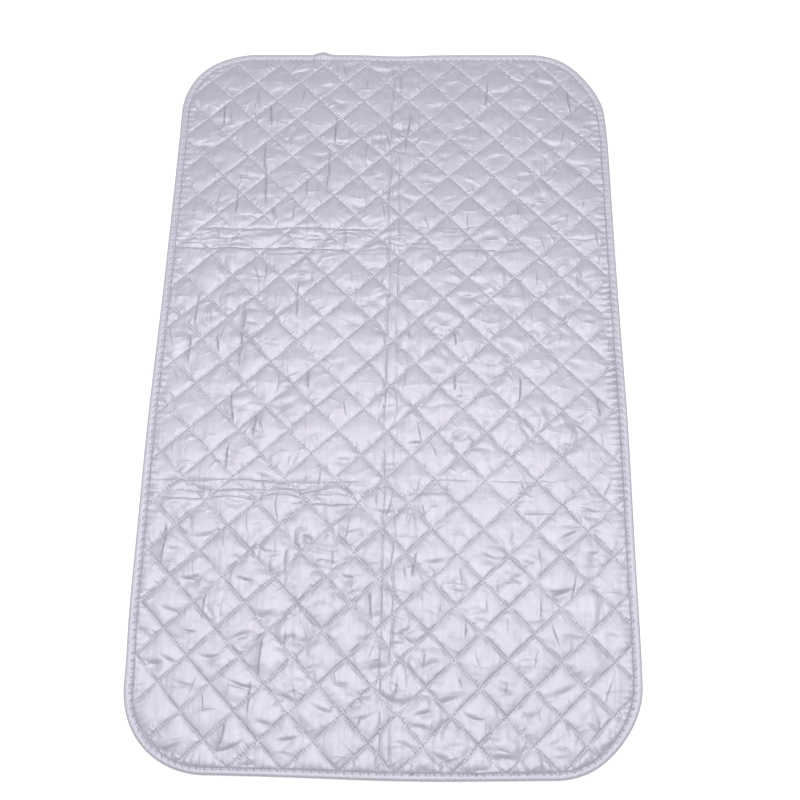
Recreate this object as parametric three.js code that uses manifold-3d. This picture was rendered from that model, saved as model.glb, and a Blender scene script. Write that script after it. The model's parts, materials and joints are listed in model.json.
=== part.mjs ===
// A quilted ironing pad: a silver face cover, a layer of wadding and a backing sheet, sewn together in
// diamonds and bound round the rim with a folded tape. It folds in three across its length.
// Units are millimetres. +X is across the pad, +Y runs to its back edge and +Z is up.
// The origin is on the underside, at the middle of the pad.
import * as THREE from 'three';
import { mergeVertices } from 'three/addons/utils/BufferGeometryUtils.js';
import Module from 'manifold-3d';

const wasm = await Module();
wasm.setup();

// Pad outline
const PAD_LENGTH = 800;
const PAD_WIDTH = 480;
const CORNER_RADIUS = 83;
const CORNER_STEPS = 6;

// Folds: the back panel swings up over the middle one, and the front panel over both
const BACK_PANEL_LENGTH = 248;
const FRONT_PANEL_LENGTH = 265;
const FOLD_SLIT = 0.6;
const FOLD_CLEARANCE = 1;

// Layers, and the air left between any two pieces that touch
const BACKING_THICKNESS = 0.5;
const FACE_THICKNESS = 0.5;
const WADDING_LOFT = 4.5;
const WADDING_UNDER_STITCHES = 0.6;
const PIECE_GAP = 0.3;

// Quilting: two families of stitch rows, each with its own slant and spacing, sewn from one crossing
const RISING_ROW_ANGLE = 44;
const FALLING_ROW_ANGLE = -46.6;
const RISING_ROW_SPACING = 34.8;
const FALLING_ROW_SPACING = 36;
const CROSSING_X = -20.9;
const CROSSING_Y = 7.2;
const CROWN_SHARE = 0.45;

// Binding tape: the width that shows on each face, and the ramp of the layers up to its seam
const TAPE_WIDTH = 8;
const TAPE_THICKNESS = 0.6;
const SEAM_RAMP = 6;
const NOSE_STEPS = 6;

// Lap of the tape's end on the back edge: a doubled end, short of the surface that the pad lies on
const LAP_X = -81;
const LAP_LENGTH = 24;
const LAP_LAYERS = 2;
const LAP_LIFT = 0.4;

// Colours
const SILVER = new THREE.Color(0xc9c6d5);
const SILVER_TAPE = new THREE.Color(0xbfbccb);
const WADDING_WHITE = new THREE.Color(0xf1efe9);
const BACKING_GREY = new THREE.Color(0xd9d6d0);

// Heights of the layers along a stitch row, and what follows from them
const tapeLift = TAPE_THICKNESS + PIECE_GAP;
const waddingBase = BACKING_THICKNESS + PIECE_GAP;
const faceBase = waddingBase + WADDING_UNDER_STITCHES + PIECE_GAP;
const crownRise = WADDING_LOFT - WADDING_UNDER_STITCHES;
const padThickness = faceBase + crownRise + FACE_THICKNESS;
const bindingHeight = tapeLift + faceBase + FACE_THICKNESS + PIECE_GAP + TAPE_THICKNESS;
const noseRadius = bindingHeight / 2;
const layerEdgeInset = noseRadius + PIECE_GAP;
const lapThickness = LAP_LAYERS * TAPE_THICKNESS;
const tallest = Math.max(padThickness, bindingHeight + PIECE_GAP + lapThickness);

// Fold lines, and the axes that the panels turn on
const backFoldY = PAD_LENGTH / 2 - BACK_PANEL_LENGTH;
const frontFoldY = FRONT_PANEL_LENGTH - PAD_LENGTH / 2;
const backAxis = new THREE.Vector3(0, backFoldY, tallest + FOLD_CLEARANCE);
const frontAxis = new THREE.Vector3(0, frontFoldY, backAxis.z + FOLD_CLEARANCE + tallest / 2);

// The rectangle that joins the centres of the corner arcs: the outline lies one radius outside it
const coreX = PAD_WIDTH / 2 - CORNER_RADIUS;
const coreY = PAD_LENGTH / 2 - CORNER_RADIUS;

function nearestCore(point) {
  return new THREE.Vector2(
    THREE.MathUtils.clamp(point.x, -coreX, coreX),
    THREE.MathUtils.clamp(point.y, -coreY, coreY),
  );
}

// Stations round the outline, counterclockwise: a point of the core and the direction outwards
function outlineStations() {
  const corners = [[coreX, coreY], [-coreX, coreY], [-coreX, -coreY], [coreX, -coreY]];
  const stations = [];
  corners.forEach(([x, y], corner) => {
    for (let step = 0; step <= CORNER_STEPS; step += 1) {
      const angle = (corner + step / CORNER_STEPS) * Math.PI / 2;
      const outward = new THREE.Vector2(Math.cos(angle), Math.sin(angle));
      stations.push({ core: new THREE.Vector2(x, y), outward });
    }
  });
  return stations;
}

function stationPoint(station, inset) {
  return station.core.clone().addScaledVector(station.outward, CORNER_RADIUS - inset);
}

function outline(inset) {
  return outlineStations().map((station) => stationPoint(station, inset));
}

// The layers lie on the lower half of the tape at the rim, and come down to the flat inside its seam
function liftAt(point) {
  const insideSeam = CORNER_RADIUS - TAPE_WIDTH - nearestCore(point).distanceTo(point);
  return tapeLift * THREE.MathUtils.clamp(1 - insideSeam / SEAM_RAMP, 0, 1);
}

// A plan is a flat triangulation. Each of its points also holds its share of the crown's rise.
const SAME_POINT = 1e-4;

function newPlan() {
  return { points: [], triangles: [], known: new Map() };
}

function addPoint(plan, { x, y }, rise) {
  const key = `${Math.round(x / SAME_POINT)} ${Math.round(y / SAME_POINT)}`;
  if (!plan.known.has(key)) {
    plan.known.set(key, plan.points.length);
    plan.points.push(Object.assign(new THREE.Vector2(x, y), { rise }));
  }
  return plan.known.get(key);
}

function addQuad(plan, a, b, c, d) {
  plan.triangles.push([a, b, c], [a, c, d]);
}

function rimEdges(plan) {
  const edges = plan.triangles.flatMap(([a, b, c]) => [[a, b], [b, c], [c, a]]);
  const used = new Set(edges.map((edge) => edge.join(' ')));
  return edges.filter(([a, b]) => !used.has(`${b} ${a}`));
}

// The closed body between two heights over a plan
function bodyOverPlan(plan, lowerHeight, upperHeight) {
  const count = plan.points.length;
  const positions = [];
  for (const height of [lowerHeight, upperHeight]) {
    for (const point of plan.points) {
      positions.push(point.x, point.y, height(point));
    }
  }
  const indices = [];
  for (const [a, b, c] of plan.triangles) {
    indices.push(a, c, b);
    indices.push(a + count, b + count, c + count);
  }
  for (const [a, b] of rimEdges(plan)) {
    indices.push(a, b, b + count);
    indices.push(a, b + count, a + count);
  }
  return indexedGeometry(positions, indices);
}

function indexedGeometry(positions, indices) {
  const geometry = new THREE.BufferGeometry();
  geometry.setAttribute('position', new THREE.Float32BufferAttribute(positions, 3));
  geometry.setIndex(indices);
  return geometry;
}

// Quilting rows: the steps from one crossing to the next along each family
function rowStep(angleDegrees, length) {
  const angle = THREE.MathUtils.degToRad(angleDegrees);
  return new THREE.Vector2(Math.cos(angle), Math.sin(angle)).multiplyScalar(length);
}

const crossingSine = Math.sin(THREE.MathUtils.degToRad(RISING_ROW_ANGLE - FALLING_ROW_ANGLE));
const risingStep = rowStep(RISING_ROW_ANGLE, FALLING_ROW_SPACING / crossingSine);
const fallingStep = rowStep(FALLING_ROW_ANGLE, RISING_ROW_SPACING / crossingSine);

function crossing(rising, falling) {
  return new THREE.Vector2(CROSSING_X, CROSSING_Y)
    .addScaledVector(risingStep, rising)
    .addScaledVector(fallingStep, falling);
}

function diamonds() {
  const farthest = Math.hypot(PAD_LENGTH, PAD_WIDTH) / 2 + Math.hypot(CROSSING_X, CROSSING_Y);
  const reach = Math.ceil(farthest / Math.min(risingStep.length(), fallingStep.length())) + 1;
  const cells = [];
  for (let i = -reach; i < reach; i += 1) {
    for (let j = -reach; j < reach; j += 1) {
      cells.push([crossing(i, j), crossing(i, j + 1), crossing(i + 1, j + 1), crossing(i + 1, j)]);
    }
  }
  return cells;
}

function sideOf(point, from, to) {
  return (to.x - from.x) * (point.y - from.y) - (to.y - from.y) * (point.x - from.x);
}

// The part of a convex polygon inside another one, both counterclockwise
function clip(polygon, region) {
  return region.reduce((kept, from, index) => {
    const to = region[(index + 1) % region.length];
    return kept.flatMap((point, k) => {
      const next = kept[(k + 1) % kept.length];
      const here = sideOf(point, from, to);
      const there = sideOf(next, from, to);
      const crosses = (here > 0 && there < 0) || (here < 0 && there > 0);
      const cut = crosses ? [point.clone().lerp(next, here / (here - there))] : [];
      return here >= 0 ? [point, ...cut] : cut;
    });
  }, polygon);
}

function middleOf(points) {
  return points.reduce((sum, point) => sum.add(point), new THREE.Vector2()).divideScalar(points.length);
}

// A whole pillow: a level crown inside four slopes that meet the stitch rows
function addCrownedPillow(plan, corners) {
  const middle = middleOf(corners);
  const low = corners.map((corner) => addPoint(plan, corner, 0));
  const high = corners.map((corner) => addPoint(plan, middle.clone().lerp(corner, CROWN_SHARE), 1));
  corners.forEach((corner, k) => {
    const next = (k + 1) % corners.length;
    addQuad(plan, low[k], low[next], high[next], high[k]);
  });
  addQuad(plan, ...high);
}

// A pillow with one peak: a diamond that a fold presses, or the part of one that the seam leaves, which is
// lower the smaller it is
function addPeakedPillow(plan, corners) {
  const peak = middleOf(corners);
  const nearest = Math.min(...corners.map((corner, k) => {
    const next = corners[(k + 1) % corners.length];
    return sideOf(peak, corner, next) / corner.distanceTo(next);
  }));
  const halfRow = Math.min(RISING_ROW_SPACING, FALLING_ROW_SPACING) / 2;
  const top = addPoint(plan, peak, Math.min(1, nearest / halfRow));
  const low = corners.map((corner) => addPoint(plan, corner, 0));
  low.forEach((corner, k) => {
    plan.triangles.push([corner, low[(k + 1) % low.length], top]);
  });
}

// The flat margin of a layer between the binding's seam and the layer's cut edge inside the tape
function addMargin(plan) {
  const widen = (CORNER_RADIUS - layerEdgeInset) / (CORNER_RADIUS - TAPE_WIDTH);
  const outer = (index) => {
    const core = nearestCore(plan.points[index]);
    return addPoint(plan, core.clone().lerp(plan.points[index], widen), 0);
  };
  for (const [a, b] of rimEdges(plan)) {
    addQuad(plan, a, outer(a), outer(b), b);
  }
}

function onFold(corners) {
  const heights = corners.map((corner) => corner.y);
  return [backFoldY, frontFoldY].some((y) => Math.min(...heights) < y && y < Math.max(...heights));
}

function quiltPlan(addWholePillow) {
  const seam = outline(TAPE_WIDTH);
  const plan = newPlan();
  for (const diamond of diamonds()) {
    const kept = clip(diamond, seam);
    const whole = kept.length === diamond.length && kept.every((point, k) => point === diamond[k]);
    if (whole && !onFold(diamond)) {
      addWholePillow(plan, diamond);
    } else if (kept.length > 2) {
      addPeakedPillow(plan, kept);
    }
  }
  addMargin(plan);
  return plan;
}

// A plan of nested outlines, the outermost first, with a plain middle
function nestedPlan(insets) {
  const plan = newPlan();
  const rings = insets.map((inset) => outline(inset).map((point) => addPoint(plan, point, 0)));
  for (let ring = 1; ring < rings.length; ring += 1) {
    rings[ring].forEach((inner, k) => {
      const next = (k + 1) % rings[ring].length;
      addQuad(plan, rings[ring - 1][k], rings[ring - 1][next], rings[ring][next], inner);
    });
  }
  const middle = rings[rings.length - 1];
  const faces = THREE.ShapeUtils.triangulateShape(middle.map((index) => plan.points[index]), []);
  plan.triangles.push(...faces.map((face) => face.map((k) => middle[k])));
  return plan;
}

// Solids for joining and cutting
function solidOf(geometry) {
  const bare = geometry.clone();
  bare.deleteAttribute('normal');
  bare.deleteAttribute('uv');
  const merged = mergeVertices(bare, SAME_POINT);
  return new wasm.Manifold(new wasm.Mesh({
    numProp: 3,
    vertProperties: new Float32Array(merged.attributes.position.array),
    triVerts: new Uint32Array(merged.index.array),
  }));
}

function geometryOf(solid) {
  const { vertProperties, triVerts } = solid.getMesh();
  const geometry = indexedGeometry(Array.from(vertProperties), Array.from(triVerts));
  geometry.computeVertexNormals();
  return geometry;
}

function waddingTop(point) {
  return waddingBase + liftAt(point) + WADDING_UNDER_STITCHES + point.rise * crownRise;
}

function faceCoverSolid() {
  const underside = (point) => waddingTop(point) + PIECE_GAP;
  const top = (point) => underside(point) + FACE_THICKNESS;
  return solidOf(bodyOverPlan(quiltPlan(addCrownedPillow), underside, top));
}

function backingSolid() {
  const plan = nestedPlan([layerEdgeInset, TAPE_WIDTH, TAPE_WIDTH + SEAM_RAMP]);
  return solidOf(bodyOverPlan(plan, liftAt, (point) => liftAt(point) + BACKING_THICKNESS));
}

// The wadding is one block under its quilted top, cut away over the backing
function waddingSolid() {
  const below = () => -tallest;
  const block = solidOf(bodyOverPlan(quiltPlan(addPeakedPillow), below, waddingTop));
  const plan = nestedPlan([0, TAPE_WIDTH, TAPE_WIDTH + SEAM_RAMP]);
  const underWadding = bodyOverPlan(plan, () => -2 * tallest, (point) => waddingBase + liftAt(point));
  return block.subtract(solidOf(underWadding));
}

// A round turn of the tape's section about the middle of the rim, as distances in from the edge and up
function noseArc(radius, fromAngle, toAngle) {
  return Array.from({ length: NOSE_STEPS + 1 }, (_, step) => {
    const angle = THREE.MathUtils.lerp(fromAngle, toAngle, step / NOSE_STEPS);
    return new THREE.Vector2(
      noseRadius - radius * Math.cos(angle),
      noseRadius + radius * Math.sin(angle),
    );
  });
}

const QUARTER = Math.PI / 2;

function bindingSection() {
  return [
    new THREE.Vector2(TAPE_WIDTH, bindingHeight),
    ...noseArc(noseRadius, QUARTER, -QUARTER),
    new THREE.Vector2(TAPE_WIDTH, 0),
    new THREE.Vector2(TAPE_WIDTH, TAPE_THICKNESS),
    ...noseArc(noseRadius - TAPE_THICKNESS, -QUARTER, QUARTER),
    new THREE.Vector2(TAPE_WIDTH, bindingHeight - TAPE_THICKNESS),
  ];
}

// The tape's section carried once round the outline
function bindingSolid() {
  const section = bindingSection();
  const stations = outlineStations();
  const positions = stations.flatMap((station) => section.flatMap(({ x: inset, y: height }) => {
    const point = stationPoint(station, inset);
    return [point.x, point.y, height];
  }));
  const indices = [];
  stations.forEach((_, s) => {
    const here = s * section.length;
    const ahead = ((s + 1) % stations.length) * section.length;
    section.forEach((__, k) => {
      const next = (k + 1) % section.length;
      indices.push(here + k, here + next, ahead + next);
      indices.push(here + k, ahead + next, ahead + k);
    });
  });
  return solidOf(indexedGeometry(positions, indices));
}

// The lapped end of the tape: over the top of the rim and round its nose
function bindingLapGeometry() {
  const inner = noseRadius + PIECE_GAP;
  const outer = inner + lapThickness;
  const turn = -Math.asin((noseRadius - LAP_LIFT) / outer);
  const section = [
    new THREE.Vector2(TAPE_WIDTH, noseRadius + outer),
    ...noseArc(outer, QUARTER, turn),
    ...noseArc(inner, turn, QUARTER),
    new THREE.Vector2(TAPE_WIDTH, noseRadius + inner),
  ];
  const rimY = PAD_LENGTH / 2;
  const profile = new THREE.Shape(section.map(({ x, y }) => new THREE.Vector2(rimY - x, y)));
  const geometry = new THREE.ExtrudeGeometry(profile, { depth: LAP_LENGTH, bevelEnabled: false });
  const [xAxis, yAxis, zAxis] = [0, 1, 2].map((axis) => new THREE.Vector3().setComponent(axis, 1));
  geometry.applyMatrix4(new THREE.Matrix4().makeBasis(yAxis, zAxis, xAxis));
  geometry.translate(LAP_X - LAP_LENGTH / 2, 0, 0);
  return geometry;
}

// The space of a panel between two lengths, for the part of a layer that lies there
function panelSpace(fromX, toX, fromY, toY) {
  const height = 4 * tallest;
  const box = new THREE.BoxGeometry(toX - fromX, toY - fromY, height);
  box.translate((fromX + toX) / 2, (fromY + toY) / 2, 0);
  return solidOf(box);
}

const farX = PAD_WIDTH;
const farY = PAD_LENGTH;
const halfSlit = FOLD_SLIT / 2;
const backSpace = panelSpace(-farX, farX, backFoldY + halfSlit, farY);
const middleSpace = panelSpace(-farX, farX, frontFoldY + halfSlit, backFoldY - halfSlit);
const leftSpace = panelSpace(-farX, 0, frontFoldY + halfSlit, backFoldY - halfSlit);
const rightSpace = panelSpace(0, farX, frontFoldY + halfSlit, backFoldY - halfSlit);
const frontSpace = panelSpace(-farX, farX, -farY, frontFoldY - halfSlit);

const silverCloth = { color: SILVER, roughness: 0.45, metalness: 0.35 };
const tapeCloth = { color: SILVER_TAPE, roughness: 0.5, metalness: 0.3 };
const fibre = { color: WADDING_WHITE, roughness: 1, metalness: 0 };
const cotton = { color: BACKING_GREY, roughness: 0.9, metalness: 0 };

const faceCover = faceCoverSolid();
const wadding = waddingSolid();
const backing = backingSolid();
const binding = bindingSolid();

// A panel is a group at the axis that it turns on, with its pieces where the flat pad has them
function panel(axis, pieces) {
  const group = new THREE.Group();
  group.position.copy(axis);
  for (const [name, geometry, cloth] of pieces) {
    const mesh = new THREE.Mesh(geometry, new THREE.MeshStandardMaterial(cloth));
    mesh.name = name;
    mesh.position.copy(axis).negate();
    group.add(mesh);
  }
  return group;
}

const pad = new THREE.Group();
pad.add(
  panel(backAxis, [
    ['face_cover_back', geometryOf(faceCover.intersect(backSpace)), silverCloth],
    ['wadding_back', geometryOf(wadding.intersect(backSpace)), fibre],
    ['backing_back', geometryOf(backing.intersect(backSpace)), cotton],
    ['binding_back', geometryOf(binding.intersect(backSpace)), tapeCloth],
    ['binding_lap', bindingLapGeometry(), tapeCloth],
  ]),
  panel(new THREE.Vector3(), [
    ['face_cover_middle', geometryOf(faceCover.intersect(middleSpace)), silverCloth],
    ['wadding_middle', geometryOf(wadding.intersect(middleSpace)), fibre],
    ['backing_middle', geometryOf(backing.intersect(middleSpace)), cotton],
    ['binding_left', geometryOf(binding.intersect(leftSpace)), tapeCloth],
    ['binding_right', geometryOf(binding.intersect(rightSpace)), tapeCloth],
  ]),
  panel(frontAxis, [
    ['face_cover_front', geometryOf(faceCover.intersect(frontSpace)), silverCloth],
    ['wadding_front', geometryOf(wadding.intersect(frontSpace)), fibre],
    ['backing_front', geometryOf(backing.intersect(frontSpace)), cotton],
    ['binding_front', geometryOf(binding.intersect(frontSpace)), tapeCloth],
  ]),
);

export default pad;
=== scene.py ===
"""Looks of a quilted ironing pad: silver satin sewn over wadding in diamonds and bound round the rim.

Lengths are in millimetres, and become metres where a mesh is made. +X is across the pad, +Y runs to its
back edge and +Z is up, as in the frame.
"""
import json
import math

import bpy
import numpy as np
from mathutils import Euler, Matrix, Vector


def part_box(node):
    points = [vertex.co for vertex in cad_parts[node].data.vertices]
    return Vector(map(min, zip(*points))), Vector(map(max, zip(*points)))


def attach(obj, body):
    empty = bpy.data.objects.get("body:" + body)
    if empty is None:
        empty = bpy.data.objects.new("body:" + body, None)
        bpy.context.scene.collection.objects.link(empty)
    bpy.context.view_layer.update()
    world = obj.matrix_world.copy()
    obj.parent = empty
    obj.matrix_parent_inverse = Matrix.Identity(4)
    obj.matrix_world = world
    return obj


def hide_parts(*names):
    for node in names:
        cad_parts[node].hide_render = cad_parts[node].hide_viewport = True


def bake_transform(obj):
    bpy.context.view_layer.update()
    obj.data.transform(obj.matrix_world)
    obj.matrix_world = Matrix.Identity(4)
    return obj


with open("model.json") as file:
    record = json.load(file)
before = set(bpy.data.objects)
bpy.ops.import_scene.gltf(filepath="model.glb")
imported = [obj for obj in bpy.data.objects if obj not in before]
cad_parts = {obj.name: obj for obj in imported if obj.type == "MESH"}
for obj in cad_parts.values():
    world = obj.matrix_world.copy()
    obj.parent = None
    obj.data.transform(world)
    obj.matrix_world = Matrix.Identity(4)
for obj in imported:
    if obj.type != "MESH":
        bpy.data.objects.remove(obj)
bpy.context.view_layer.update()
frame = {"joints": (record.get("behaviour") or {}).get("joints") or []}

MM = 0.001

# Sizes and fold lines that the frame gives
PAD_WIDTH = (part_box("binding_right")[1].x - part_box("binding_left")[0].x) / MM
PAD_LENGTH = (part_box("binding_back")[1].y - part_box("binding_front")[0].y) / MM
BINDING_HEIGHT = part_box("binding_left")[1].z / MM
FOLD_Y = {joint["name"]: joint["pos_m"][1] / MM for joint in frame["joints"]}
LAP_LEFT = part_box("binding_lap")[0].x / MM
LAP_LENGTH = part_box("binding_lap")[1].x / MM - LAP_LEFT

# Outline and binding tape
CORNER_RADIUS = 83
TAPE_WIDTH = 7.6
TAPE_LEAN = 1.2
TAPE_THICKNESS = 0.5
SEAM_INSET = 6.4
SEAM_RAMP = 6
SEAM_LIP = 0.45
NEEDLE_HOLE = 0.35
LAYER_EDGE_INSET = 3.2

# Quilting: two families of rows sewn from one crossing, with a whole number of stitches to each diamond
RISING_ROW_ANGLE = math.radians(44)
FALLING_ROW_ANGLE = math.radians(-46.6)
RISING_ROW_SPACING = 34.8
FALLING_ROW_SPACING = 36
CROSSING = np.array([-20.9, 7.2])
STITCHES_PER_SIDE = 11

# Heights of the layers along a stitch row and over a pillow
FACE_THICKNESS = 0.4
BACKING_THICKNESS = 0.35
RIM_TOP = 2.3
TUCK_RISE = 0.75
ROW_TOP = 3.9
RIM_LIFT = 0.9
PILLOW_RISE = 1.5
ROW_SOFTENING = 0.5
BACKING_ROW_LIFT = 0.6
WADDING_CLEARANCE = 0.25
WADDING_LEAST = 0.3
LAYER_GAP = 0.05
TALLEST_FACE = 6.6
TOP_ROUNDING = 0.8

# Half of the strip of cloth that bends when a panel folds, and how far behind it the pieces meet
BEND_HALF_WIDTH = 7
SEAM_CLEARANCE = 3

# Creases left by folding: fold, distance behind it, depth, flank width, and the stretch across the pad
CREASES = [
    ("back_fold", 14, 1.4, 3.6, -205, -12),
    ("back_fold", -11, 1.7, 4.5, -236, -40),
    ("back_fold", 4, 0.6, 2.4, -236, -150),
    ("back_fold", -3, 0.6, 2.2, -228, -135),
    ("back_fold", -14, 0.5, 5, 44, 142),
    ("back_fold", 2, 0.5, 4, 160, 232),
    ("back_fold", 16, 0.4, 4, 20, 110),
    ("front_fold", 13, 1.0, 3, -226, -24),
    ("front_fold", 4, 0.8, 2.6, -206, -64),
    ("front_fold", -4, 0.8, 2.6, -226, -110),
    ("front_fold", -10, 1.4, 3, -96, -26),
    ("front_fold", 15, 0.4, 4.5, 40, 176),
    ("front_fold", -19, 0.8, 4, 126, 164),
]

# The two lines of the lengthwise crease: X and depth
CENTRE_CREASES = [(-1.5, 1.2), (9.0, 1.0)]

# Long lengthwise wrinkles: X, the Y of the back end, length, and how far the front end leans to +X
LONG_WRINKLES = [
    (-144, 282, 90, 7), (-190, 330, 32, 1), (-140, 330, 32, 2), (-62, 314, 40, -3), (-69, 272, 62, -3),
    (-92, 232, 24, 1), (19, 318, 54, -5), (108, 362, 36, -3), (199, 354, 38, 3), (-168, 212, 28, -1),
    (-130, 194, 14, 2), (-199, 86, 38, -3), (-151, 76, 76, -3), (-97, 100, 42, 1), (-206, 38, 34, 0),
    (-178, 38, 20, 4), (-82, 0, 24, 0), (-158, -24, 40, 4), (-132, -48, 28, -2), (-157, -84, 30, -1),
    (134, -8, 30, -1), (211, -28, 24, 3), (68, 42, 16, 1), (70, -4, 20, 0), (-212, -164, 44, -3),
    (-168, -234, 26, -2), (-113, -272, 44, -2), (-119, -316, 30, -2), (-14, -230, 30, 3), (31, -192, 26, -2),
    (-142, -352, 22, -3), (-92, -190, 24, -2),
]
LONG_WRINKLE_HEIGHT = 1.3
LONG_WRINKLE_REACH = 16

# Camera of the photograph, and the light
CAMERA_PLACE = (0.0387, -0.4856, 1.0751)
CAMERA_TURN = (-22.83, -1.265, -0.407)
CAMERA_LENS = 51.7
SENSOR_WIDTH = 36
FILL_STRENGTH = 0.42
SOFT_BOX_PLACE = (0, 0.12, 2.0)
SOFT_BOX_SIZE = (2.0, 0.8)
SOFT_BOX_POWER = 24

rng = np.random.default_rng(20)


# Outline

HALF_SIZE = np.array([PAD_WIDTH, PAD_LENGTH]) / 2
CORE = HALF_SIZE - CORNER_RADIUS
CORNER_ARC = CORNER_RADIUS * math.pi / 2
SIDE_RUN = 2 * CORE[1]
END_RUN = 2 * CORE[0]
PERIMETER = 2 * (SIDE_RUN + END_RUN) + 4 * CORNER_ARC


def core_point(x, y):
    """The nearest point of the core, the rectangle between the middles of the four corners."""
    return np.clip(x, -CORE[0], CORE[0]), np.clip(y, -CORE[1], CORE[1])


def inset_at(x, y):
    """How far inside the pad's edge a point lies."""
    core_x, core_y = core_point(x, y)
    return CORNER_RADIUS - np.hypot(x - core_x, y - core_y)


def outline_place(s):
    """The core's point and the outward direction at a length s round the outline, from the right side on."""
    runs = np.array([SIDE_RUN, CORNER_ARC, END_RUN, CORNER_ARC] * 2)
    ends = np.cumsum(runs)
    s = s % PERIMETER
    part = np.minimum(np.searchsorted(ends, s, side="right"), len(runs) - 1)
    share = (s - (ends[part] - runs[part])) / runs[part]
    quarter = part // 2
    straight = part % 2 == 0
    corners = CORE * np.array([(1, -1), (1, 1), (-1, 1), (-1, -1), (1, -1)])
    along = corners[quarter] + (corners[quarter + 1] - corners[quarter]) * share[..., None]
    core = np.where(straight[..., None], along, corners[quarter + 1])
    angle = (quarter + np.where(straight, 0, share)) * math.pi / 2
    return core, np.stack([np.cos(angle), np.sin(angle)], -1)


def length_round(x, y):
    """The length round the outline, as outline_place counts it, of the edge nearest to a point."""
    core_x, core_y = core_point(x, y)
    in_core = (core_x == x) & (core_y == y)
    sideways = CORE[0] - np.abs(x) < CORE[1] - np.abs(y)
    out_x = np.where(in_core, np.where(sideways, np.sign(x), 0), x - core_x)
    out_y = np.where(in_core, np.where(sideways, 0, np.sign(y)), y - core_y)
    turn = np.arctan2(out_y, out_x) % (2 * math.pi) / (math.pi / 2)
    whole_turns = np.floor(turn + 1e-9)
    quarter = whole_turns.astype(int) % 4
    on_arc = turn - whole_turns > 1e-6
    starts = np.cumsum([0, SIDE_RUN + CORNER_ARC, END_RUN + CORNER_ARC, SIDE_RUN + CORNER_ARC])
    runs = np.array([SIDE_RUN, END_RUN, SIDE_RUN, END_RUN])
    run_from = np.choose(quarter, [core_y + CORE[1], CORE[0] - core_x, CORE[1] - core_y, core_x + CORE[0]])
    arc_from = runs[quarter] + (turn - quarter) * CORNER_ARC
    return starts[quarter] + np.where(on_arc, arc_from, run_from)


# Small functions of numbers

NOISE_TILE = 128
UP = np.array([0, 0, 1.0])


def eased(t):
    """A smooth step from 0 to 1 as t goes from 0 to 1."""
    t = np.clip(t, 0, 1)
    return t * t * (3 - 2 * t)


def bump_of(t):
    """A round bump of height 1 at 0."""
    return np.exp(-t * t)


def unit(vectors):
    return vectors / np.linalg.norm(vectors, axis=-1, keepdims=True)


def soft_noise(seed, u, v=0.0):
    """Smooth noise from -1 to 1 with a random value at each whole u and v."""
    values = np.random.default_rng(seed).uniform(-1, 1, (NOISE_TILE, NOISE_TILE))
    u, v = np.broadcast_arrays(np.asarray(u, float), np.asarray(v, float))
    iu, iv = np.floor(u).astype(int), np.floor(v).astype(int)
    fu, fv = eased(u - iu), eased(v - iv)

    def at(du, dv):
        return values[(iu + du) % NOISE_TILE, (iv + dv) % NOISE_TILE]

    low = at(0, 0) * (1 - fu) + at(1, 0) * fu
    high = at(0, 1) * (1 - fu) + at(1, 1) * fu
    return low * (1 - fv) + high * fv


# Waves of the rim: the binding gathers the layers as it is sewn on, one gather to two stitches

GATHER_LENGTH = 7.4
GATHER_SPACING = PERIMETER / round(PERIMETER / GATHER_LENGTH)


def rim_strength(x, y):
    """How strongly the rim is gathered: most at the right and where a fold ends, least at the back."""
    at_folds = sum(bump_of((y - fold) / 14) for fold in FOLD_Y.values())
    at_right = bump_of((y - 30) / 130) * (x > CORE[0])
    at_back = np.clip((y - CORE[1]) / 40, 0, 1)
    return 0.4 - 0.3 * at_back + 0.4 * at_folds + 0.9 * at_right


def gather_count(s):
    """The number of gathers up to a length s round the outline: they drift a little from an even spacing."""
    at = s % PERIMETER
    drift = 0.12 * soft_noise(31, at / 30) + 0.3 * soft_noise(32, at / 90)
    return s / GATHER_SPACING + drift * np.clip(np.minimum(at, PERIMETER - at) / 40, 0, 1)


def rim_wave(s):
    """The gathers along the rim, from about -1 to 1: round bulges with sharp valleys between."""
    size = 0.8 + 0.4 * soft_noise(33, s % PERIMETER / 40)
    return size * (2 * np.abs(np.sin(math.pi * gather_count(s))) - 1)


def tape_width(toward_back):
    """The width of tape that shows where the outline faces the back by that much."""
    return TAPE_WIDTH + TAPE_LEAN * toward_back


# Grid of the cloth: it runs along the rows, a few fine steps to a stitch, so that every stitch falls on it

FINE = 4
STEP = FINE * STITCHES_PER_SIDE
CROSSING_SINE = math.sin(RISING_ROW_ANGLE - FALLING_ROW_ANGLE)
ROW_WANDER = 0.6

# How far outside the layers' cut edge the grid's points and the outermost squares may lie
GRID_MARGIN = 3
SQUARE_MARGIN = 1.3


def side_of_cell(angle, spacing):
    """One side of a diamond, along a row at that angle, between two rows of the other family."""
    return np.array([math.cos(angle), math.sin(angle)]) * spacing / CROSSING_SINE


RISING_STEP = side_of_cell(RISING_ROW_ANGLE, FALLING_ROW_SPACING)
FALLING_STEP = side_of_cell(FALLING_ROW_ANGLE, RISING_ROW_SPACING)
CELL_REACH = math.ceil(np.hypot(*HALF_SIZE) / RISING_ROW_SPACING) + 2
LAST = 2 * CELL_REACH * STEP

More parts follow.
